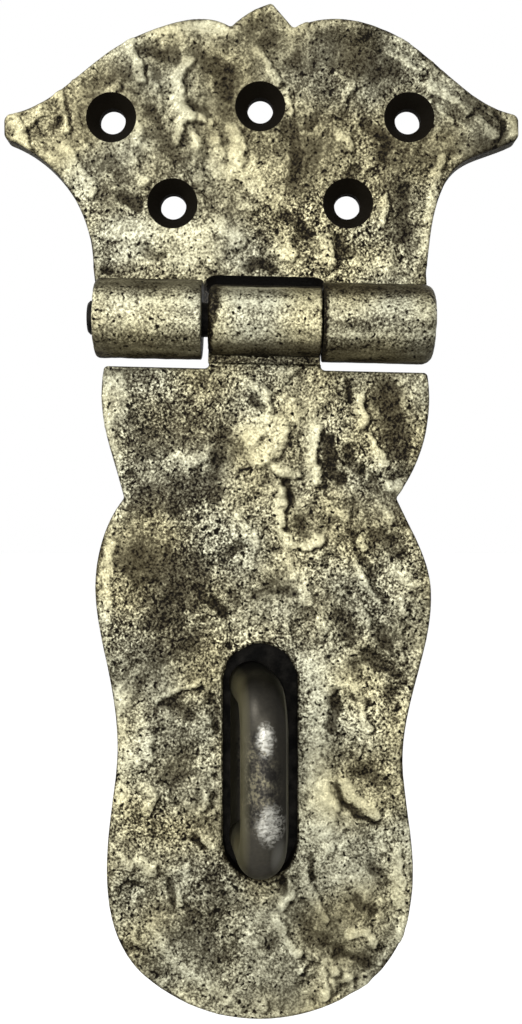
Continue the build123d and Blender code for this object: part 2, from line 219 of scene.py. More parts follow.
STRAP_MARKS = [
    ([(255, 386), (266, 398), (270, 408)], 5, 0.8, 0.7),
    ([(250, 436), (266, 420), (280, 426), (276, 444), (262, 456)], 10, 0.7, 0.75),
    ([(268, 462), (282, 472), (297, 475)], 5, 0.8, 0.8),
    ([(315, 428), (312, 455), (315, 482)], 6.5, 0.9, 0.9),
    ([(360, 398), (363, 422)], 5.5, 0.9, 0.8),
    ([(368, 436), (376, 450), (384, 464)], 4.5, 0.9, 0.8),
    ([(283, 490), (280, 512), (282, 532), (292, 546), (309, 547), (322, 537)], 4.5, 0.9, 0.9),
    ([(117, 380), (120, 400), (116, 425)], 8, 0.2, 0.5),
    ([(176, 452), (190, 462), (210, 452)], 6, 0.4, 0.5),
    ([(238, 515), (246, 528), (256, 545)], 5, 0.5, 0.6),
    ([(330, 508), (345, 516)], 6, 0.4, 0.5),
    ([(286, 560), (292, 575)], 5, 0.5, 0.5),
    ([(240, 560), (268, 570)], 5, 0.2, 0.3),
    ([(300, 575), (305, 600)], 7, 0.3, 0.5),
    ([(380, 508), (392, 520)], 4, 0.4, 0.4),
    ([(361, 540), (364, 545)], 4, 0.7, 0.8),
    ([(395, 570), (415, 585)], 6, 0.4, 0.6),
    ([(356, 560), (366, 585), (380, 602)], 4, 0.7, 0.6),
    ([(398, 600), (405, 612)], 5, 0.5, 0.6),
    ([(360, 612), (366, 622)], 4, 0.6, 0.6),
    ([(110, 545), (106, 590), (108, 620)], 5, 0.3, 0.7),
    ([(119, 690), (125, 760), (121, 800)], 6.5, 0.2, 0.5),
    ([(156, 698), (178, 690), (198, 684)], 3.5, 0.6, 0.6),
    ([(133, 757), (139, 765)], 4.5, 0.7, 0.7),
    ([(142, 784), (154, 796), (146, 812)], 5, 0.8, 0.6),
    ([(138, 860), (150, 870)], 6, 0.8, 0.6),
    ([(176, 890), (180, 905)], 4, 0.7, 0.6),
    ([(312, 660), (318, 700), (316, 760), (322, 830)], 12, 0.1, 0.45),
    ([(330, 690), (342, 684), (356, 690), (362, 708)], 4, 0.6, 0.6),
    ([(364, 716), (369, 729)], 4, 0.8, 0.7),
    ([(344, 784), (356, 798), (374, 812)], 7, 0.9, 0.8),
    ([(320, 786), (334, 808)], 5, 0.6, 0.7),
    ([(276, 920), (286, 938), (298, 954)], 4.5, 0.7, 0.6),
    ([(350, 936), (366, 932), (374, 944)], 4.5, 0.8, 0.7),
    ([(396, 848), (400, 880), (398, 905)], 5, 0.3, 0.7),
    ([(330, 848), (320, 860)], 5, 0.5, 0.5),
    ([(378, 820), (384, 850)], 4, 0.3, 0.4),
    ([(150, 925), (175, 965), (230, 1000)], 5, 0.2, 0.5),
    ([(150, 440), (180, 420), (210, 440)], 24, 0.0, -0.42),
    ([(145, 500), (205, 490)], 18, 0.0, -0.4),
    ([(146, 560), (190, 575), (165, 610)], 24, -0.1, -0.5),
    ([(104, 378), (106, 420), (116, 462)], 5, 0.2, 0.45),
    ([(286, 400), (300, 420)], 8, 0.1, 0.3),
    ([(190, 640), (160, 650)], 14, 0.0, -0.3),
    ([(214, 604), (224, 612)], 6, -0.8, -1.0),
    ([(196, 590), (205, 600)], 5, -0.4, -0.6),
    ([(250, 398), (262, 408)], 3.5, -0.7, -0.8),
    ([(329, 438), (332, 470), (340, 480)], 5, -0.8, -0.9),
    ([(386, 392), (394, 425), (398, 450)], 13, -0.4, -0.6),
    ([(348, 380), (350, 400)], 3, -0.7, -0.8),
    ([(286, 482), (290, 500)], 4.5, -0.8, -0.9),
    ([(298, 520), (304, 534)], 5, -0.5, -0.5),
    ([(352, 532), (357, 550), (370, 568), (374, 588), (388, 602)], 3, -0.6, -0.6),
    ([(380, 535), (400, 552)], 9, -0.3, -0.5),
    ([(258, 594), (274, 586), (292, 592)], 7, -0.3, -0.45),
    ([(240, 545), (225, 560)], 5, -0.5, -0.6),
    ([(340, 615), (350, 640)], 8, -0.4, -0.5),
    ([(380, 630), (388, 645)], 6, -0.5, -0.6),
    ([(166, 702), (180, 706), (188, 716)], 7, -0.3, -0.5),
    ([(160, 740), (185, 750), (175, 775)], 15, 0.0, -0.28),
    ([(196, 838), (202, 846)], 4, -0.9, -0.9),
    ([(128, 880), (140, 884)], 3, -0.7, -0.8),
    ([(148, 905), (180, 930), (212, 915)], 17, 0.0, -0.2),
    ([(208, 880), (225, 895)], 7, -0.3, -0.5),
    ([(170, 880), (174, 905)], 3, -0.8, -0.8),
    ([(332, 692), (336, 712), (330, 726)], 6, -0.9, -0.9),
    ([(352, 696), (366, 702)], 3.5, -0.7, -0.8),
    ([(338, 786), (343, 800), (358, 816), (378, 822)], 3, -0.9, -1.0),
    ([(360, 770), (380, 780)], 8, -0.4, -0.5),
    ([(312, 860), (314, 878)], 4, -0.9, -0.8),
    ([(338, 952), (352, 956), (368, 964)], 6, -0.7, -0.65),
    ([(302, 918), (310, 938), (324, 940)], 7, -0.35, -0.35),
    ([(372, 868), (382, 880)], 6, -0.5, -0.6),
    ([(390, 690), (396, 720)], 6, -0.3, -0.4),
    ([(220, 960), (260, 940)], 14, -0.1, -0.15),
    ([(356, 900), (372, 912)], 6, -0.4, -0.5),
    ([(304, 872), (312, 895), (326, 918)], 4.5, 0.6, 0.5),
    ([(330, 868), (366, 884)], 12, 0.0, 0.25),
    ([(122, 856), (128, 866)], 4, 0.6, 0.6),
    ([(141, 722), (148, 745), (143, 768)], 6, 0.4, 0.4),
    ([(200, 836), (216, 846)], 4.5, 0.6, 0.5),
    ([(246, 938), (262, 980)], 9, 0.1, 0.25),
]

# Broad differences over the fronts, each round a pixel of the photograph: how far it reaches in
# pixels, how much paler it is rubbed there, and how much coarser its grain is
LEAF_AREAS = [
    (345, 238, 60, 0.10, 0.4),
    (150, 125, 65, -0.06, 0.0),
    (150, 238, 55, -0.04, 0.0),
    (385, 105, 75, -0.02, 0.5),
]
STRAP_AREAS = [
    (352, 695, 52, 0.14, -0.1),
    (345, 815, 50, 0.14, -0.15),
    (162, 700, 50, -0.08, 0.0),
    (165, 810, 50, -0.08, 0.0),
    (165, 565, 55, -0.08, 0.0),
    (285, 470, 45, 0.07, -0.15),
    (335, 940, 70, -0.02, -0.5),
    (185, 930, 70, -0.01, -0.25),
]

# How pale the rolled parts are coloured, by the angle round the pin: 0 faces the front and 90 is up. The
# bands hold the rubbed brass and also painted light and shade: painted highlights across the front, painted
# shade on the undersides, and the eye's top painted black as the shade in the gap above it
LEFT_KNUCKLE_RUB_AND_LIGHT = [
    (-120, 0.05), (-75, 0.14), (-60, 0.32), (-43, 0.31), (-36, 0.39), (-28, 0.54), (-18, 0.66),
    (6, 0.70), (14, 0.84), (22, 0.74), (30, 0.48), (40, 0.27), (62, 0.30), (70, 0.12),
]
RIGHT_KNUCKLE_RUB_AND_LIGHT = [
    (-120, 0.05), (-75, 0.18), (-60, 0.33), (-43, 0.31), (-35, 0.37), (-30, 0.52), (-25, 0.74),
    (-20, 0.48), (-12, 0.38), (-4, 0.52), (2, 0.69), (18, 0.70), (26, 0.58), (34, 0.40), (44, 0.16),
    (62, 0.20), (70, 0.12),
]
EYE_RUB_AND_LIGHT = [
    (-75, 0.05), (-58, 0.22), (-48, 0.33), (-41, 0.48), (-34, 0.62), (-25, 0.70), (0, 0.65),
    (12, 0.70), (19, 0.88), (27, 0.78), (34, 0.50), (44, 0.44), (54, 0.52), (58, 0.66), (62, 0.16),
    (67, -0.8),
]

# How far the relief stands up for a height of 1, and its limits
DEPTH = 0.42
SKIN_SHARE = 0.75  # of the forged skin's own height, beside the marks
LOWEST, HIGHEST = -1.6 * DEPTH, 1.9 * DEPTH
ROLL_DEPTH = 0.07  # of the gentler relief on the rolled parts

# How pale the fronts are coloured: 0 is bare blackened iron and 1 is pale brass. Besides the rubbed brass,
# the tone carries painted light and shade
PLAIN_RUB = 0.445
SKIN_RUB = 0.32
MARKS_RUB = 0.68
RIM_RUB = 0.30
RUB_MIDDLE = 0.43  # strong tones are drawn in towards this
RUB_REACH = 0.52
RUB_SOFTNESS = 0.62
PAINTED_CREASE_SHADE = 0.24  # painted shade in the crease below the strap's eye


def broad_areas(x, z, areas, front):
    """How much paler and how much coarser each point is by the areas around it."""
    pale, coarse = np.zeros(len(x)), np.zeros(len(x))
    scale = (front - EYE[1]) / FOCAL_PX
    for px, py, reach, paler, coarser in areas:
        [(middle_x, middle_z)] = photo_to_plate([(px, py)], front)
        near = np.exp(-((x - middle_x) ** 2 + (z - middle_z) ** 2) / (reach * scale) ** 2)
        pale += paler * near
        coarse += coarser * near
    return pale, coarse


def placed_marks(rows, front):
    """The marks that were placed by the photograph, in millimetres."""
    scale = (front - EYE[1]) / FOCAL_PX
    return [(photo_to_plate(line, front), half * scale, up, pale) for line, half, up, pale in rows]


def scattered_marks(count, seed, across, upright):
    """More marks of the same kind between these limits, in millimetres. Most run nearly upright, and
    rather more stand up than lie in."""
    rng = np.random.default_rng(seed)
    rows = []
    for _ in range(count):
        px, pz = rng.uniform(*across), rng.uniform(*upright)
        turn = rng.normal(1.9, 0.7)
        length = rng.uniform(1.0, 4.5)
        bend = rng.uniform(-0.5, 0.5) * length
        dx, dz = math.cos(turn), math.sin(turn)
        line = [
            (px - dx * length, pz - dz * length),
            (px - dz * bend, pz + dx * bend),
            (px + dx * length, pz + dz * length),
        ]
        strength = rng.uniform(0.3, 0.85) * (1 if rng.random() < 0.58 else -1)
        half = rng.uniform(0.4, 1.1)
        rows.append((line, half, strength, 0.75 * strength + rng.uniform(-0.15, 0.15)))
    return rows


def marks(x, z, rows):
    """Height and tone that the marks give, each about -1 to 1, how smooth they lie, 0 to 1, and 1 where
    they leave no room for others."""
    height, tone, calm, taken = (np.zeros(len(x)) for _ in range(4))
    sideways, upright = wavering(x, z, (0.55, 2.6), (0.25, 0.9), seed=31)
    uneven = layered_noise(x, z, 3.2, 35, 2)
    for line, half, up, pale in rows:
        margin = half + 2.5
        left, low = np.min(line, axis=0) - margin
        right, high = np.max(line, axis=0) + margin
        here = np.flatnonzero((x > left) & (x < right) & (z > low) & (z < high))
        u, v = sideways[here], upright[here]
        near = near_line(u, v, line)
        wide = half * (1 + 0.35 * uneven[here])
        # The edge is crisp on the right and below, and soft on the side of the light
        shaded = smooth(-0.25, 0.25, near_line(u + 0.3, v - 0.3, line) - near)
        crisp = smooth(1.15 * wide, 0.75 * wide, near)
        soft = smooth(1.7 * wide, 0.3 * wide, near)
        body = shaded * crisp + (1 - shaded) * soft
        taken[here] = np.maximum(taken[here], smooth(half + 2.4, half + 0.8, near))
        height[here] += up * body
        tone[here] += pale * body
        calm[here] = np.maximum(calm[here], abs(pale) * body)
        if up > 0.25:
            # Metal that stands up gets a groove on the right and below, and the groove is painted dark as
            # the shadow it casts away from the light
            past = smooth(1.25 * wide, 0.7 * wide, near_line(u - 0.55, v + 0.45, line))
            shadow_groove = np.clip(past - body, 0, 1)
            height[here] -= 0.55 * up * shadow_groove
            tone[here] -= 1.1 * up * shadow_groove
    return height, tone, calm, taken


def hammered(x, z, seed):
    """Height and tone of the rough forged skin, without the marks. The tone holds painted light and shade:
    what stands higher than the place above it and to its left faces the light and is painted paler, and the
    rest darker."""
    wx, wz = wavering(x, z, (1.1, 6), (0.4, 1.8), seed=seed)

    def folded(u, v):
        return 1 - 2.2 * np.abs(gradient_noise(u, v, 4.2, seed + 6))

    def lumpy(u, v):
        return layered_noise(u, v, 1.7, seed + 7, 2)

    def stepped(u, v):
        return 2.3 * layered_noise(u, v, 7.5, seed + 12, 3)

    folds, lumps, steps = folded(wx, wz), lumpy(wx, wz), stepped(wx, wz)
    folds_lit = folds - folded(wx - 0.5, wz + 0.45)
    lumps_lit = lumps - lumpy(wx - 0.3, wz + 0.3)
    steps_lit = np.tanh(4 * (steps - stepped(wx - 0.3, wz + 0.3)))

    # Flaked skin: in places the surface drops in crisp little steps, with a ledge at each. Each ledge is
    # painted pale where it faces the light and dark where it faces away, as painted light and shade
    flaked = smooth(-0.35, 0.35, gradient_noise(x, z, 10, seed + 16))
    part = steps - np.floor(steps)
    ledge = flaked * np.exp(-(((part - 0.5) / 0.16) ** 2))

    broad = layered_noise(wx, wz, 9, seed + 4, 2)
    height = 0.5 * broad + 0.25 * folds * smooth(-0.2, 0.9, folds) + 0.2 * lumps
    height = height + 0.5 * flaked * (np.floor(steps) + smooth(0.35, 0.65, part) - 0.5)
    patches = layered_noise(x, z, 13, seed + 10, 2)
    tone = 0.50 * patches + 0.25 * folds + 0.4 * folds_lit + 0.25 * lumps + 0.35 * lumps_lit
    return height, tone + 0.75 * ledge * steps_lit


# Fine meshes that stand for the two rolled plates

def search_tree(places):
    """A tree that finds the nearest of these places."""
    tree = KDTree(len(places))
    for n, place in enumerate(places):
        tree.insert(place, n)
    tree.balance()
    return tree


def distances(places, targets):
    """How far each place lies from the nearest target."""
    tree = search_tree(targets)
    return np.array([tree.find(place)[2] for place in places])


def split_rim(bm, limit):
    """Cuts the open edges into equal parts no longer than this."""
    by_parts = {}
    for edge in bm.edges:
        if edge.is_boundary:
            by_parts.setdefault(math.ceil(edge.calc_length() / limit), []).append(edge)
    for parts, group in by_parts.items():
        if parts > 1:
            bmesh.ops.subdivide_edges(bm, edges=group, cuts=parts - 1)


def slice_rolls(bm, radius):
    """Cuts the rolled part across the pin at even steps, so that it can take a gentle relief."""
    across = Vector((1, 0, PIN_SLOPE)).normalized()
    rolled = []
    for face in bm.faces:
        c = face.calc_center_median() / MM
        away = math.hypot(c.y - PIN[1], above_pin(c.x, c.z))
        if radius - 0.2 < away < radius + 0.1 and face.normal.length > 0:
            rolled.append(face)
    geom = list({*rolled, *(e for f in rolled for e in f.edges), *(v for f in rolled for v in f.verts)})
    for along in np.arange(*ROLL_ENDS, COARSE):
        point = Vector((along, PIN[1], PIN[2] + along * PIN_SLOPE)) * MM
        geom = bmesh.ops.bisect_plane(bm, geom=geom, plane_co=point, plane_no=across, dist=1e-8)["geom"]


def fine_plate(node, name, front, radius):
    """A copy of a CAD plate with an even net of small triangles on its flat front, and with its rims,
    walls and rolled part divided to follow the relief. Its flat back stays plain."""
    bm = bmesh.new()
    bm.from_mesh(node.data)
    bmesh.ops.remove_doubles(bm, verts=bm.verts, dist=1e-7)
    on_front = [
        face
        for face in bm.faces
        if face.normal.y < -0.999 and all(abs(v.co.y - front * MM) < 2e-6 for v in face.verts)
    ]
    bmesh.ops.delete(bm, geom=on_front, context="FACES")
    slice_rolls(bm, radius)
    split_rim(bm, FINE * 1.15 * MM)
    bmesh.ops.triangulate(bm, faces=[f for f in bm.faces if len(f.verts) > 3])
    rim_edges = [e for e in bm.edges if e.is_boundary]
    rim_verts = list(dict.fromkeys(v for e in rim_edges for v in e.verts))
    rim = {v: n for n, v in enumerate(rim_verts)}
    rim_points = [Vector((v.co.x, v.co.z)) / MM for v in rim_verts]
    near_rim = search_tree([(p.x, p.y, 0) for p in rim_points])
    starts, stops = (np.array([rim_points[rim[e.verts[n]]] for e in rim_edges]) for n in (0, 1))

    def crossings(z):
        """Where a level line meets the rim, from left to right."""
        met = (starts[:, 1] <= z) != (stops[:, 1] <= z)
        a, b = starts[met], stops[met]
        return np.sort(a[:, 0] + (z - a[:, 1]) / (b[:, 1] - a[:, 1]) * (b[:, 0] - a[:, 0]))

    # Rows of points, every second one moved by half a step, and none too close to the rim
    rng = np.random.default_rng(5)
    xs = np.arange(starts[:, 0].min(), starts[:, 0].max(), FINE)
    zs = np.arange(starts[:, 1].min(), starts[:, 1].max(), FINE * 0.866)
    inner = []
    for row, z in enumerate(zs):
        across = xs + (row % 2) * FINE / 2 + rng.uniform(-0.05, 0.05, len(xs))
        across = across[np.searchsorted(crossings(z), across) % 2 == 1]
        for px in across:
            if near_rim.find((px, z, 0))[2] > 0.55 * FINE:
                inner.append(Vector((px, z)))
    edges = [tuple(rim[v] for v in e.verts) for e in rim_edges]
    points, _, faces, source, _, _ = delaunay_2d_cdt(rim_points + inner, edges, [], 0, 1e-7, True)
    first_inner = len(rim_verts)

    def in_metal(face):
        """A triangle with all its corners on the rim may lie in a hole or outside."""
        if any(source[n][0] >= first_inner for n in face if source[n]):
            return True
        px, pz = (sum(points[n][k] for n in face) / 3 for k in (0, 1))
        return np.searchsorted(crossings(pz), px) % 2 == 1

    made = {}
    for n, came_from in enumerate(source):
        if came_from and came_from[0] < first_inner:
            made[n] = rim_verts[came_from[0]]

    def vertex(n):
        if n not in made:
            made[n] = bm.verts.new((points[n].x * MM, front * MM, points[n].y * MM))
        return made[n]

    for face in filter(in_metal, faces):
        bm.faces.new([vertex(n) for n in face])
    bmesh.ops.recalc_face_normals(bm, faces=bm.faces)
    for f in bm.faces:
        f.smooth = True
    for e in bm.edges:
        e.smooth = len(e.link_faces) != 2 or e.calc_face_angle() < math.radians(32)
    mesh = bpy.data.meshes.new(name)
    bm.to_mesh(mesh)
    bm.free()
    piece = bpy.data.objects.new(name, mesh)
    bpy.context.scene.collection.objects.link(piece)
    return piece


def read_points(mesh, field):
    """One vector for each point of a mesh."""
    values = np.empty(len(mesh.vertices) * 3)
    mesh.vertices.foreach_get(field, values)
    return values.reshape(-1, 3)


def sharp_distance(mesh, points):
    """How far each point lies from the nearest end of a sharp edge."""
    flags = np.empty(len(mesh.edges), bool)
    mesh.edges.foreach_get("use_edge_sharp", flags)
    ends = np.empty(len(mesh.edges) * 2, int)
    mesh.edges.foreach_get("vertices", ends)
    return distances(points, points[np.unique(ends.reshape(-1, 2)[flags])])


def store(mesh, name, values, domain="POINT"):
    """Keeps a value for each point or face, for the materials to read."""
    layer = mesh.attributes.new(name, "FLOAT", domain)
    layer.data.foreach_set("value", values.astype(np.float32))


def face_places(mesh):
    """The middles of the faces, and how far each turns to the front."""
    middles, turns = (np.empty(len(mesh.polygons) * 3) for _ in range(2))
    mesh.polygons.foreach_get("center", middles)
    mesh.polygons.foreach_get("normal", turns)
    return (middles / MM).reshape(-1, 3).T, -turns.reshape(-1, 3)[:, 1]


def wander_slot(p, x, z):
    """The slot was hot punched, so its edge wanders."""
    straight = SLOT_HALF[1] - SLOT_HALF[0]
    up = z - SLOT_MIDDLE[1]
    ox = x - SLOT_MIDDLE[0]
    oz = np.sign(up) * np.maximum(np.abs(up) - straight, 0)
    from_middle = np.maximum(np.hypot(ox, oz), 1e-6)
    close = smooth(1.6, 0.1, np.abs(from_middle - SLOT_HALF[0])) * (np.abs(up) < SLOT_HALF[1] + 4)
    wander = 0.22 * layered_noise(x, z, 2.8, 61, 2) * close
    p[:, 0] += wander * ox / from_middle
    p[:, 2] += wander * oz / from_middle


def dress(piece, front, radius, rows, more_rows, areas, shade, seed, grit):
    """Raises the relief of a plate and stores how coarse its grain is. Gives back where its points lay
    before, which of them are on the rolled part, and how pale the others are coloured by the rubbed brass
    and by painted light and shade."""
    mesh = piece.data
    p = read_points(mesh, "co") / MM
    normal = read_points(mesh, "normal")
    x, y, z = p.T
    facing = np.clip(-normal[:, 1], 0, 1)
    rise = above_pin(x, z)
    out = PIN[1] - y
    around = np.degrees(np.arctan2(rise, out))
    by_pin = np.hypot(rise, out) < radius + 0.05
    rolled = by_pin & (y < front - 0.05) & ((out > -1.5) | (np.abs(rise) < 5))
    to_sharp = sharp_distance(mesh, p)

    height, tone = hammered(x, z, seed)
    mark_height, mark_tone, calm, taken = marks(x, z, placed_marks(rows, front))
    more_height, more_tone, more_calm, _ = marks(x, z, more_rows)
    free = 1 - taken
    mark_height, mark_tone = mark_height + free * more_height, mark_tone + free * more_tone
    calm = np.maximum(calm, free * more_calm)
    flat = smooth(0.3, 0.95, facing) * ~rolled
    height = np.clip(height * DEPTH * SKIN_SHARE + mark_height * DEPTH, LOWEST, HIGHEST)
    amount = height * (0.12 + 0.88 * flat) * smooth(0.05, 1.1, to_sharp) * ~rolled
    roll = ROLL_DEPTH * layered_noise(x, around / 9, 2.5, seed + 20) * smooth(0.05, 0.8, to_sharp) * rolled
    p = p + normal * (amount + roll)[:, None]
    if front == STRAP_FRONT:
        wander_slot(p, x, z)
    mesh.vertices.foreach_set("co", (p * MM).ravel())
    mesh.update()

    # Worn bright just inside the rounded rim, and dark on the rim itself
    rounded = (facing < 0.93) & (facing > 0.3) & (y < front + 0.7) & ~rolled & (to_sharp > 1.5)
    level = np.column_stack((x, z, np.zeros(len(x))))
    to_rim = distances(level, level[rounded])
    worn = 0.5 + 0.9 * layered_noise(x, z, 7, seed + 31, 2)
    rim_light = np.clip(worn, 0, 1) * np.exp(-(((to_rim - 0.75) / 0.55) ** 2))

    area_paler, area_coarser = broad_areas(x, z, areas, front)
    shade_paler, shade_coarse = shade(x, z)
    rub_and_light = PLAIN_RUB + SKIN_RUB * tone + MARKS_RUB * mark_tone + RIM_RUB * rim_light + shade_paler
    rub_and_light = RUB_MIDDLE + RUB_REACH * np.tanh((rub_and_light + area_paler - RUB_MIDDLE) / RUB_SOFTNESS)
    rub_and_light = rub_and_light * flat + (1 - flat) * (0.12 + 0.08 * tone)
    coarse = (1 + 0.5 * layered_noise(x, z, 12, seed + 41, 2)) * shade_coarse
    coarse = np.clip(coarse, 0.35, 1.5) * (1 + area_coarser) * (1 - 0.62 * np.minimum(calm, 1))
    # The rolled parts are rough where they face the front, and smooth above and below, where their bands
    # are painted dark, partly as painted shade
    rolled_grit = 0.70 * (0.35 + 0.65 * smooth(-56, -30, around) * smooth(52, 28, around))
    store(mesh, "grit", np.where(rolled, rolled_grit, grit * coarse))
    return SimpleNamespace(x=x, y=y, z=z, rise=rise, around=around, rolled=rolled, rub_and_light=rub_and_light)


def leaf_shade(x, z):
    """The leaf is rubbed paler on its left, and its lower part is the coarser one."""
    return -0.06 * np.tanh(x / 12), 0.72 + 0.55 * smooth(-6, -20, z)


def strap_shade(_, z):
    """The strap is rubbed paler at its foot, and is equally coarse all over."""
    return 0.055 * smooth(-100, -110, z), 1.0


def band_rub_and_light(skin, rubbed_and_lit):
    """How pale a rolled part is coloured by the angle round the pin, with its rubbed brass and its painted
    light and shade.
    """
    angles, tones = zip(*rubbed_and_lit)
    return np.interp(skin.around, angles, tones)


def streaks(skin, seed):
    """Noise over a rolled part, drawn out along the pin."""
    return layered_noise(skin.x / 3.5, skin.around / 6, 2.0, seed)


def dress_leaf(leaf):
    """The leaf's relief, its knuckles' rubbed brass with painted light and shade, its notch's walls painted
    black as shade, and the black paint in its holes.
    """
    skin = dress(
        leaf,
        LEAF_FRONT,
        KNUCKLE_RADIUS,
        LEAF_MARKS,
        scattered_marks(110, 7, (-45, 45), (-31, 17)),
        LEAF_AREAS,
        leaf_shade,
        seed=100,
        grit=0.62,
    )
    rubbed_and_lit = np.where(skin.x < 0, band_rub_and_light(skin, LEFT_KNUCKLE_RUB_AND_LIGHT), band_rub_and_light(skin, RIGHT_KNUCKLE_RUB_AND_LIGHT))
    rubbed_and_lit = rubbed_and_lit + 0.16 * streaks(skin, 301)
    # Painted shade: dark at the knuckles' inner ends, beside the strap's eye
    rubbed_and_lit = rubbed_and_lit * smooth(-0.05, 0.5, np.abs(skin.x - NOTCH_MIDDLE) - NOTCH_HALF - 0.2)
    store(leaf.data, "rub_and_light", np.where(skin.rolled, rubbed_and_lit, skin.rub_and_light))

    (x, y, z), turned = face_places(leaf.data)
    rise = above_pin(x, z)
    # Painted shade: the notch's walls over the eye are coloured black for the shade in the gap. The
    # countersinks are black with their own paint
    in_notch = (np.abs(x - NOTCH_MIDDLE) < NOTCH_HALF + 0.25) & (rise > 0) & (rise < NOTCH_RISE + 0.2)
    black_paint_and_shade = in_notch & (np.abs(turned) < 0.9) & (y > LEAF_FRONT - 0.3)
    for hole_x, hole_z in HOLES:
        in_hole = np.hypot(x - hole_x, z - hole_z) < COUNTERSINK - 0.02
        black_paint_and_shade |= in_hole & (y > LEAF_FRONT + 0.02) & (turned > -0.9)
    store(leaf.data, "black_paint_and_shade", black_paint_and_shade, "FACE")


def dress_strap(strap):
    """The strap's relief, its eye's rubbed brass with painted light and shade, painted shade in the crease
    below the eye, and its slot's walls painted black as shade.
    """
    skin = dress(
        strap,
        STRAP_FRONT,
        EYE_RADIUS,
        STRAP_MARKS,
        [
            *scattered_marks(45, 8, (-6, 29), (-108, -49)),
            *scattered_marks(12, 9, (-29, -6), (-108, -49)),
            *scattered_marks(90, 10, (-29, 29), (-162, -108)),
        ],
        STRAP_AREAS,
        strap_shade,
        seed=200,
        grit=0.84,
    )
    x, z, around = skin.x, skin.z, skin.around
    rubbed_and_lit = band_rub_and_light(skin, EYE_RUB_AND_LIGHT) + 0.14 * streaks(skin, 302)
    # Painted shade: dark and ragged at the eye's two ends, beside the knuckles, and reaching further in at
    # the left end, which is worn round
    left_ragged = 0.25 * gradient_noise(around / 9, x, 1.5, 303)
    right_ragged = 0.2 * gradient_noise(around / 9, x, 1.5, 304)
    left_shade_reach = 1.7 - 1.3 * smooth(20, -50, around)
    rubbed_and_lit = rubbed_and_lit * smooth(0.0, 0.5, x - EYE_ENDS[0] - left_shade_reach + left_ragged)
    rubbed_and_lit = rubbed_and_lit * smooth(0.0, 0.6, EYE_ENDS[1] + 0.2 - x + right_ragged)
    # Painted shade below the eye: the crease under its lower flank is coloured dark
    crease_shade = smooth(-7.5, -7.0, skin.rise + 0.03 * (x + 9) + 0.15 * gradient_noise(x, z, 1.6, 305))
    rub_and_light = skin.rub_and_light + (PAINTED_CREASE_SHADE - skin.rub_and_light) * crease_shade * ~skin.rolled * (skin.y < STRAP_FRONT + 0.5)
    store(strap.data, "rub_and_light", np.where(skin.rolled, rubbed_and_lit, rub_and_light))

    (x, y, z), turned = face_places(strap.data)
    # Painted shade: the slot's walls are coloured black for the shade inside the slot
    across, upright = np.abs(x - SLOT_MIDDLE[0]), np.abs(z - SLOT_MIDDLE[1])
    in_slot = (across < SLOT_HALF[0] + 0.5) & (upright < SLOT_HALF[1] + 0.5)
    black_paint_and_shade = in_slot & (y > STRAP_FRONT + SLOT_BREAK + 0.02) & (np.abs(turned) < 0.8)
    store(strap.data, "black_paint_and_shade", black_paint_and_shade, "FACE")


leaf = fine_plate(nodes["fixed_leaf"], "leaf_skin", LEAF_FRONT, KNUCKLE_RADIUS)
strap = fine_plate(nodes["hasp_strap"], "strap_skin", STRAP_FRONT, EYE_RADIUS)
dress_leaf(leaf)
dress_strap(strap)


# Materials. A noise's scale is in features for each metre

# Colours by tone, from bare blackened iron to pale brass, and of the other irons
IRON_TO_BRASS = [
    (0.0, (0.0048, 0.0034, 0.0014)),
    (0.13, (0.034, 0.0275, 0.014)),
    (0.40, (0.127, 0.115, 0.072)),
    (0.68, (0.40, 0.375, 0.248)),
    (1.0, (0.80, 0.77, 0.535)),
]
COOL_TO_WARM = [(0.38, (0.93, 0.95, 1.0)), (0.62, (1.0, 0.965, 0.86))]
GUNMETAL = [(0.36, (0.027, 0.025, 0.022)), (0.54, (0.080, 0.073, 0.057)), (0.70, (0.21, 0.19, 0.125))]
BLACKENED = [(0.40, (0.003, 0.0028, 0.0025)), (0.75, (0.022, 0.020, 0.017))]
# Painted light on the staple's left side, and the colour of its painted highlights
LIT_OLIVE = (0.22, 0.20, 0.115, 1)
HIGHLIGHT_COLOUR = (0.50, 0.49, 0.43, 1)

# A noise lower than these is a pit, and how much it and the grain are seen in the tone
SMALL_PIT = 0.325
LARGE_PIT = 0.258
PIT_SHADE = -7.5
GRAIN_SHADE = 3.0
# How far the black lowers the tone: black paint in the holes, painted shade in the notch and the slot
BLACK_PAINT_AND_SHADE_DROP = -2.0

# Spots on the staple's crown, its rougher middle and its painted highlights and sheen: the middle's X and
# Z, and how far they reach each way
CROWN_MIDDLE = (-0.6, -117.5, 4.5, 9.0)
UPPER_HIGHLIGHT = (0.9, -110.5, 2.0, 3.4)
LOWER_HIGHLIGHT = (1.6, -124.2, 2.9, 4.2)
LOWER_SHEEN = (3.2, -130.5, 1.6, 4.5)
STAPLE_TOP = -101.5  # from here down it comes out of the shade
TOP_SHADE = 9.0  # over this length


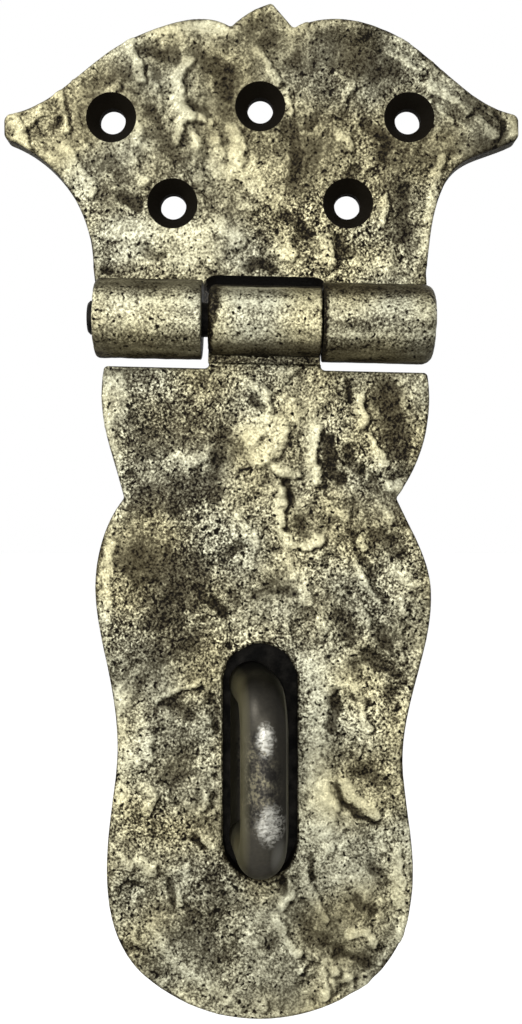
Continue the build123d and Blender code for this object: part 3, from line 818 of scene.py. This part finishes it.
def node_tools(tree):
    """Short ways to add nodes to a tree."""

    def feed(socket, value):
        """Links a socket to another one, or sets its value."""
        if isinstance(value, bpy.types.NodeSocket):
            tree.links.new(value, socket)
        else:
            socket.default_value = value

    def add(kind, **values):
        node = tree.nodes.new(kind)
        for key, value in values.items():
            if key in node.inputs:
                feed(node.inputs[key], value)
            else:
                setattr(node, key, value)
        return node

    def maths(operation, first, second=0.0, third=0.0):
        node = add("ShaderNodeMath", operation=operation)
        for socket, value in zip(node.inputs, (first, second, third)):
            feed(socket, value)
        return node.outputs[0]

    def held(value):
        """A value held between 0 and 1."""
        return maths("MINIMUM", maths("MAXIMUM", value, 0.0), 1.0)

    def noise(where, scale, **values):
        return add("ShaderNodeTexNoise", Vector=where, Scale=scale, **values).outputs["Fac"]

    def ramp(value, stops):
        node = add("ShaderNodeValToRGB")
        elements = node.color_ramp.elements
        while len(elements) < len(stops):
            elements.new(0.5)
        for element, (position, colour) in zip(elements, stops):
            element.position = position
            element.color = (*colour, 1)
        feed(node.inputs[0], value)
        return node.outputs[0]

    def mix(factor, first, second, blend="MIX"):
        """Two colours mixed. Among the node's sockets, 6 and 7 take colours, and 2 gives one."""
        node = add("ShaderNodeMix", data_type="RGBA", blend_type=blend, Factor=factor)
        feed(node.inputs[6], first)
        feed(node.inputs[7], second)
        return node.outputs[2]

    def bump(strength, distance, height):
        return add("ShaderNodeBump", Strength=strength, Distance=distance, Height=height).outputs[0]

    return SimpleNamespace(
        feed=feed, add=add, maths=maths, held=held, noise=noise, ramp=ramp, mix=mix, bump=bump
    )


def new_material(name):
    """A new material with its surface's shader, and the tools to add its nodes."""
    material = bpy.data.materials.new(name)
    material.use_nodes = True
    made = node_tools(material.node_tree)
    made.material = material
    made.shader = next(n for n in material.node_tree.nodes if n.type == "BSDF_PRINCIPLED")
    return made


def surfaced(made, values):
    """The new material, once these values are fed to its surface."""
    for key, value in values.items():
        made.feed(made.shader.inputs[key], value)
    return made.material


def antique_iron(name, shift):
    """Blackened rough iron with pale brass rubbed over its high grains, and the painted light and shade
    that its tone carries.
    """
    made = new_material(name)
    add, maths, noise = made.add, made.maths, made.noise
    place = add("ShaderNodeTexCoord").outputs["Object"]
    moved = add("ShaderNodeMapping", Vector=place, Location=(shift, shift, 0), Rotation=(0.7, 0.5, 0.9))
    where = moved.outputs[0]
    rub_and_light, black_paint_and_shade, grit = (
        add("ShaderNodeAttribute", attribute_name=layer).outputs["Fac"] for layer in ("rub_and_light", "black_paint_and_shade", "grit")
    )
    grain = noise(where, 2350.0, Detail=1.5, Roughness=0.6)
    crumbs = noise(where, 900.0, Detail=2.0, Roughness=0.5)
    specks = noise(where, 1500.0, Detail=0.0)
    holes = noise(where, 820.0, Detail=0.0)
    tint = noise(where, 62.0, Detail=1.0)
    speckle = maths("ADD", maths("MULTIPLY", grain, 0.80), maths("MULTIPLY", crumbs, 0.20))
    deepest = maths("MAXIMUM", maths("SUBTRACT", SMALL_PIT, specks), maths("SUBTRACT", LARGE_PIT, holes))
    pits = maths("SMOOTH_MAX", deepest, 0.0, 0.01)
    tone = maths("MULTIPLY_ADD", maths("SUBTRACT", speckle, 0.5), maths("MULTIPLY", grit, GRAIN_SHADE), rub_and_light)
    tone = maths("MULTIPLY_ADD", pits, maths("MULTIPLY", grit, PIT_SHADE), tone)
    # Black paint in the holes, and painted shade on the walls of the notch and the slot
    tone = maths("MULTIPLY_ADD", black_paint_and_shade, BLACK_PAINT_AND_SHADE_DROP, tone)
    colour, warm = made.ramp(tone, IRON_TO_BRASS), made.ramp(tint, COOL_TO_WARM)
    depth = maths("MULTIPLY_ADD", pits, -6.0, speckle)
    open_metal = maths("SUBTRACT", 1.0, black_paint_and_shade)
    return surfaced(
        made,
        {
            "Base Color": made.mix(1.0, colour, warm, "MULTIPLY"),
            "Metallic": 0.35,
            "Specular IOR Level": 0.1,
            "Roughness": maths("MULTIPLY_ADD", maths("MINIMUM", tone, 1.0), -0.16, 0.56),
            "Normal": made.bump(0.55, 0.00022, maths("MULTIPLY", depth, open_metal)),
        },
    )


def worn_iron(name):
    """Dark gunmetal with painted highlights at the two ends of the crown, a painted reflection along its
    right side, painted shade at its top and on its right, and painted light on its left.
    """
    made = new_material(name)
    add, maths, noise, held = made.add, made.maths, made.noise, made.held
    where = add("ShaderNodeTexCoord").outputs["Object"]
    apart = add("ShaderNodeSeparateXYZ", Vector=where)

    def spot(x, z, half_x, half_z):
        """1 in the middle of a spot, falling to 0 around it."""
        up = maths("DIVIDE", maths("SUBTRACT", apart.outputs["Z"], z * MM), half_z * MM)
        side = maths("DIVIDE", maths("SUBTRACT", apart.outputs["X"], x * MM), half_x * MM)
        square = maths("ADD", maths("MULTIPLY", up, up), maths("MULTIPLY", side, side))
        return maths("MAXIMUM", maths("SUBTRACT", 1.0, square), 0.0)

    mottle = noise(where, 330.0, Detail=3.0, Roughness=0.6)
    fine = noise(where, 1900.0, Detail=2.0)
    stretched = add("ShaderNodeMapping", Vector=where, Scale=(0.7, 0.7, 1.0)).outputs[0]
    waves = noise(stretched, 1750.0, Detail=2.0, Distortion=0.8)

    # The bar's own colour, rougher in the middle of the crown
    worn = maths("MULTIPLY_ADD", spot(*CROWN_MIDDLE), 1.5, 0.15)
    finer = maths("MULTIPLY", maths("SUBTRACT", fine, 0.5), 0.6)
    rough = maths("ADD", maths("SUBTRACT", mottle, 0.5), finer)
    tone = maths("MULTIPLY_ADD", rough, worn, maths("MULTIPLY_ADD", worn, 0.025, 0.475))
    colour = made.ramp(tone, GUNMETAL)

    # Painted shade: dimmer at the top and on the right. Painted light: olive on the left, which faces the
    # light
    normal = add("ShaderNodeNewGeometry").outputs["Normal"]
    turned = add("ShaderNodeSeparateXYZ", Vector=normal).outputs["X"]
    below_top = maths("MULTIPLY_ADD", apart.outputs["Z"], -1 / (TOP_SHADE * MM), STAPLE_TOP / TOP_SHADE)
    dim = maths("MULTIPLY_ADD", held(below_top), 0.72, 0.28)
    shaded_right_side = held(maths("MULTIPLY_ADD", turned, 2.2, -0.3))
    dim = maths("MULTIPLY", dim, maths("MULTIPLY_ADD", shaded_right_side, -0.5, 1.0))
    dimmed = add("ShaderNodeVectorMath", operation="SCALE", Vector=colour, Scale=dim).outputs[0]
    lit_left_side = held(maths("MULTIPLY_ADD", turned, -3.0, -1.6))
    lit_olive = made.mix(maths("MULTIPLY", lit_left_side, 0.55), dimmed, LIT_OLIVE)

    # Painted highlights in two spots, a painted reflection along a thin line on the right, and a faint
    # painted sheen at the lower edge
    highlight_spots = maths("MAXIMUM", spot(*UPPER_HIGHLIGHT), spot(*LOWER_HIGHLIGHT))
    highlight = maths("MULTIPLY_ADD", maths("SUBTRACT", waves, 0.5), 3.0, maths("MULTIPLY", highlight_spots, 0.80))
    highlight = maths("MULTIPLY", highlight, maths("MINIMUM", maths("MULTIPLY", highlight_spots, 1.3), 1.0))
    off_reflection = maths("MULTIPLY", maths("ABSOLUTE", maths("SUBTRACT", turned, 0.93)), 28.0)
    right_reflection = maths("MAXIMUM", maths("SUBTRACT", 1.0, off_reflection), 0.0)
    lower_sheen = maths("MULTIPLY", spot(*LOWER_SHEEN), 0.22)
    edge_highlight = maths("MAXIMUM", maths("MULTIPLY", right_reflection, 0.3), lower_sheen)
    highlight = maths("MINIMUM", maths("MAXIMUM", highlight, edge_highlight), 1.0)
    return surfaced(
        made,
        {
            "Base Color": made.mix(highlight, lit_olive, HIGHLIGHT_COLOUR),
            "Metallic": 0.9,
            "Specular Tint": (0.55, 0.55, 0.55, 1),
            "Roughness": maths("MULTIPLY_ADD", mottle, 0.2, 0.32),
            "Normal": made.bump(0.3, 0.0001, fine),
        },
    )


def dark_iron(name):
    """Blackened iron, a little greyer in mottled patches."""
    made = new_material(name)
    where = made.add("ShaderNodeTexCoord").outputs["Object"]
    mottle = made.noise(where, 420.0, Detail=4.0, Roughness=0.6)
    fine = made.noise(where, 1700.0, Detail=2.0)
    return surfaced(
        made,
        {
            "Base Color": made.ramp(mottle, BLACKENED),
            "Metallic": 0.3,
            "Specular IOR Level": 0.04,
            "Roughness": made.maths("MULTIPLY_ADD", mottle, 0.25, 0.4),
            "Normal": made.bump(0.4, 0.00015, fine),
        },
    )


def put(obj, material):
    """Gives an object this one material."""
    obj.data.materials.clear()
    obj.data.materials.append(material)


put(leaf, antique_iron("antique_iron_leaf", 0.0))
put(strap, antique_iron("antique_iron_strap", 0.05))
put(nodes["staple_loop"], worn_iron("worn_iron_staple"))
put(nodes["hinge_pin"], dark_iron("dark_iron_pin"))
put(nodes["staple_plate"], dark_iron("dark_iron_plate"))

for piece, body, node in ((leaf, "fixed", "fixed_leaf"), (strap, "strap", "hasp_strap")):
    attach(piece, body)
    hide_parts(node)


# Floor, background, lamps and camera, in metres
FLOOR = -0.19
FLOOR_HALF = 3
FLOOR_GLOW = 0.62
SKY_LIGHT = 0.36
AIM = (0, 0, -0.07)  # of the lamps
SENSOR = 24  # the sensor's height, in millimetres


def pale_floor():
    """A pale floor that also glows, but only where the camera sees it."""
    made = new_material("pale_floor")
    material = surfaced(made, {"Base Color": (0.82, 0.82, 0.81, 1), "Roughness": 0.7})
    seen = made.add("ShaderNodeLightPath").outputs["Is Camera Ray"]
    glow = made.add("ShaderNodeMixShader", Fac=seen)
    for socket, strength in ((glow.inputs[1], 0.0), (glow.inputs[2], FLOOR_GLOW)):
        made.feed(socket, made.add("ShaderNodeEmission", Strength=strength).outputs[0])
    both = made.add("ShaderNodeAddShader")
    made.feed(both.inputs[0], made.shader.outputs[0])
    made.feed(both.inputs[1], glow.outputs[0])
    output = next(n for n in material.node_tree.nodes if n.type == "OUTPUT_MATERIAL")
    made.feed(output.inputs["Surface"], both.outputs[0])
    return material


floor_corners = [(x * FLOOR_HALF, y * FLOOR_HALF, FLOOR) for x, y in ((-1, -1), (1, -1), (1, 1), (-1, 1))]
floor_mesh = bpy.data.meshes.new("floor")
floor_mesh.from_pydata(floor_corners, [], [(0, 1, 2, 3)])
floor = bpy.data.objects.new("floor", floor_mesh)
bpy.context.scene.collection.objects.link(floor)
put(floor, pale_floor())

# White where it is seen, also in gloss and through glass, and weaker where it lights the rest
world = bpy.data.worlds.new("studio")
bpy.context.scene.world = world
world.use_nodes = True
sky = node_tools(world.node_tree)
background = next(n for n in world.node_tree.nodes if n.type == "BACKGROUND")
rays = sky.add("ShaderNodeLightPath").outputs
straight = sky.maths("MAXIMUM", rays["Is Camera Ray"], rays["Is Transmission Ray"])
seen = sky.maths("MAXIMUM", straight, rays["Is Glossy Ray"])
level = sky.add("ShaderNodeMapRange", **{"Value": seen, "To Min": SKY_LIGHT, "To Max": 1.0})
sky.feed(background.inputs["Color"], (1, 1, 1, 1))
sky.feed(background.inputs["Strength"], level.outputs[0])


def softbox(name, place, size, watts):
    """A square lamp aimed at the object."""
    lamp = bpy.data.lights.new(name, "AREA")
    lamp.shape = "RECTANGLE"
    lamp.size = lamp.size_y = size
    lamp.energy = watts
    obj = bpy.data.objects.new(name, lamp)
    obj.location = place
    obj.rotation_euler = (Vector(AIM) - Vector(place)).to_track_quat("-Z", "Y").to_euler()
    bpy.context.scene.collection.objects.link(obj)


softbox("rake", (-0.42, -0.30, 0.30), 0.16, 2.2)
softbox("front", (-0.06, -0.60, 0.0), 0.30, 1.7)

camera_data = bpy.data.cameras.new("camera")
camera_data.sensor_fit = "VERTICAL"
camera_data.sensor_height = SENSOR
camera_data.lens = SENSOR * FOCAL_PX / FRAME_PX[1]
camera_data.clip_start = 0.005
camera = bpy.data.objects.new("camera", camera_data)
camera.location = EYE * MM
camera.rotation_euler = (math.pi / 2, 0, 0)
bpy.context.scene.collection.objects.link(camera)
bpy.context.scene.camera = camera
bpy.context.scene.view_settings.view_transform = "Standard"
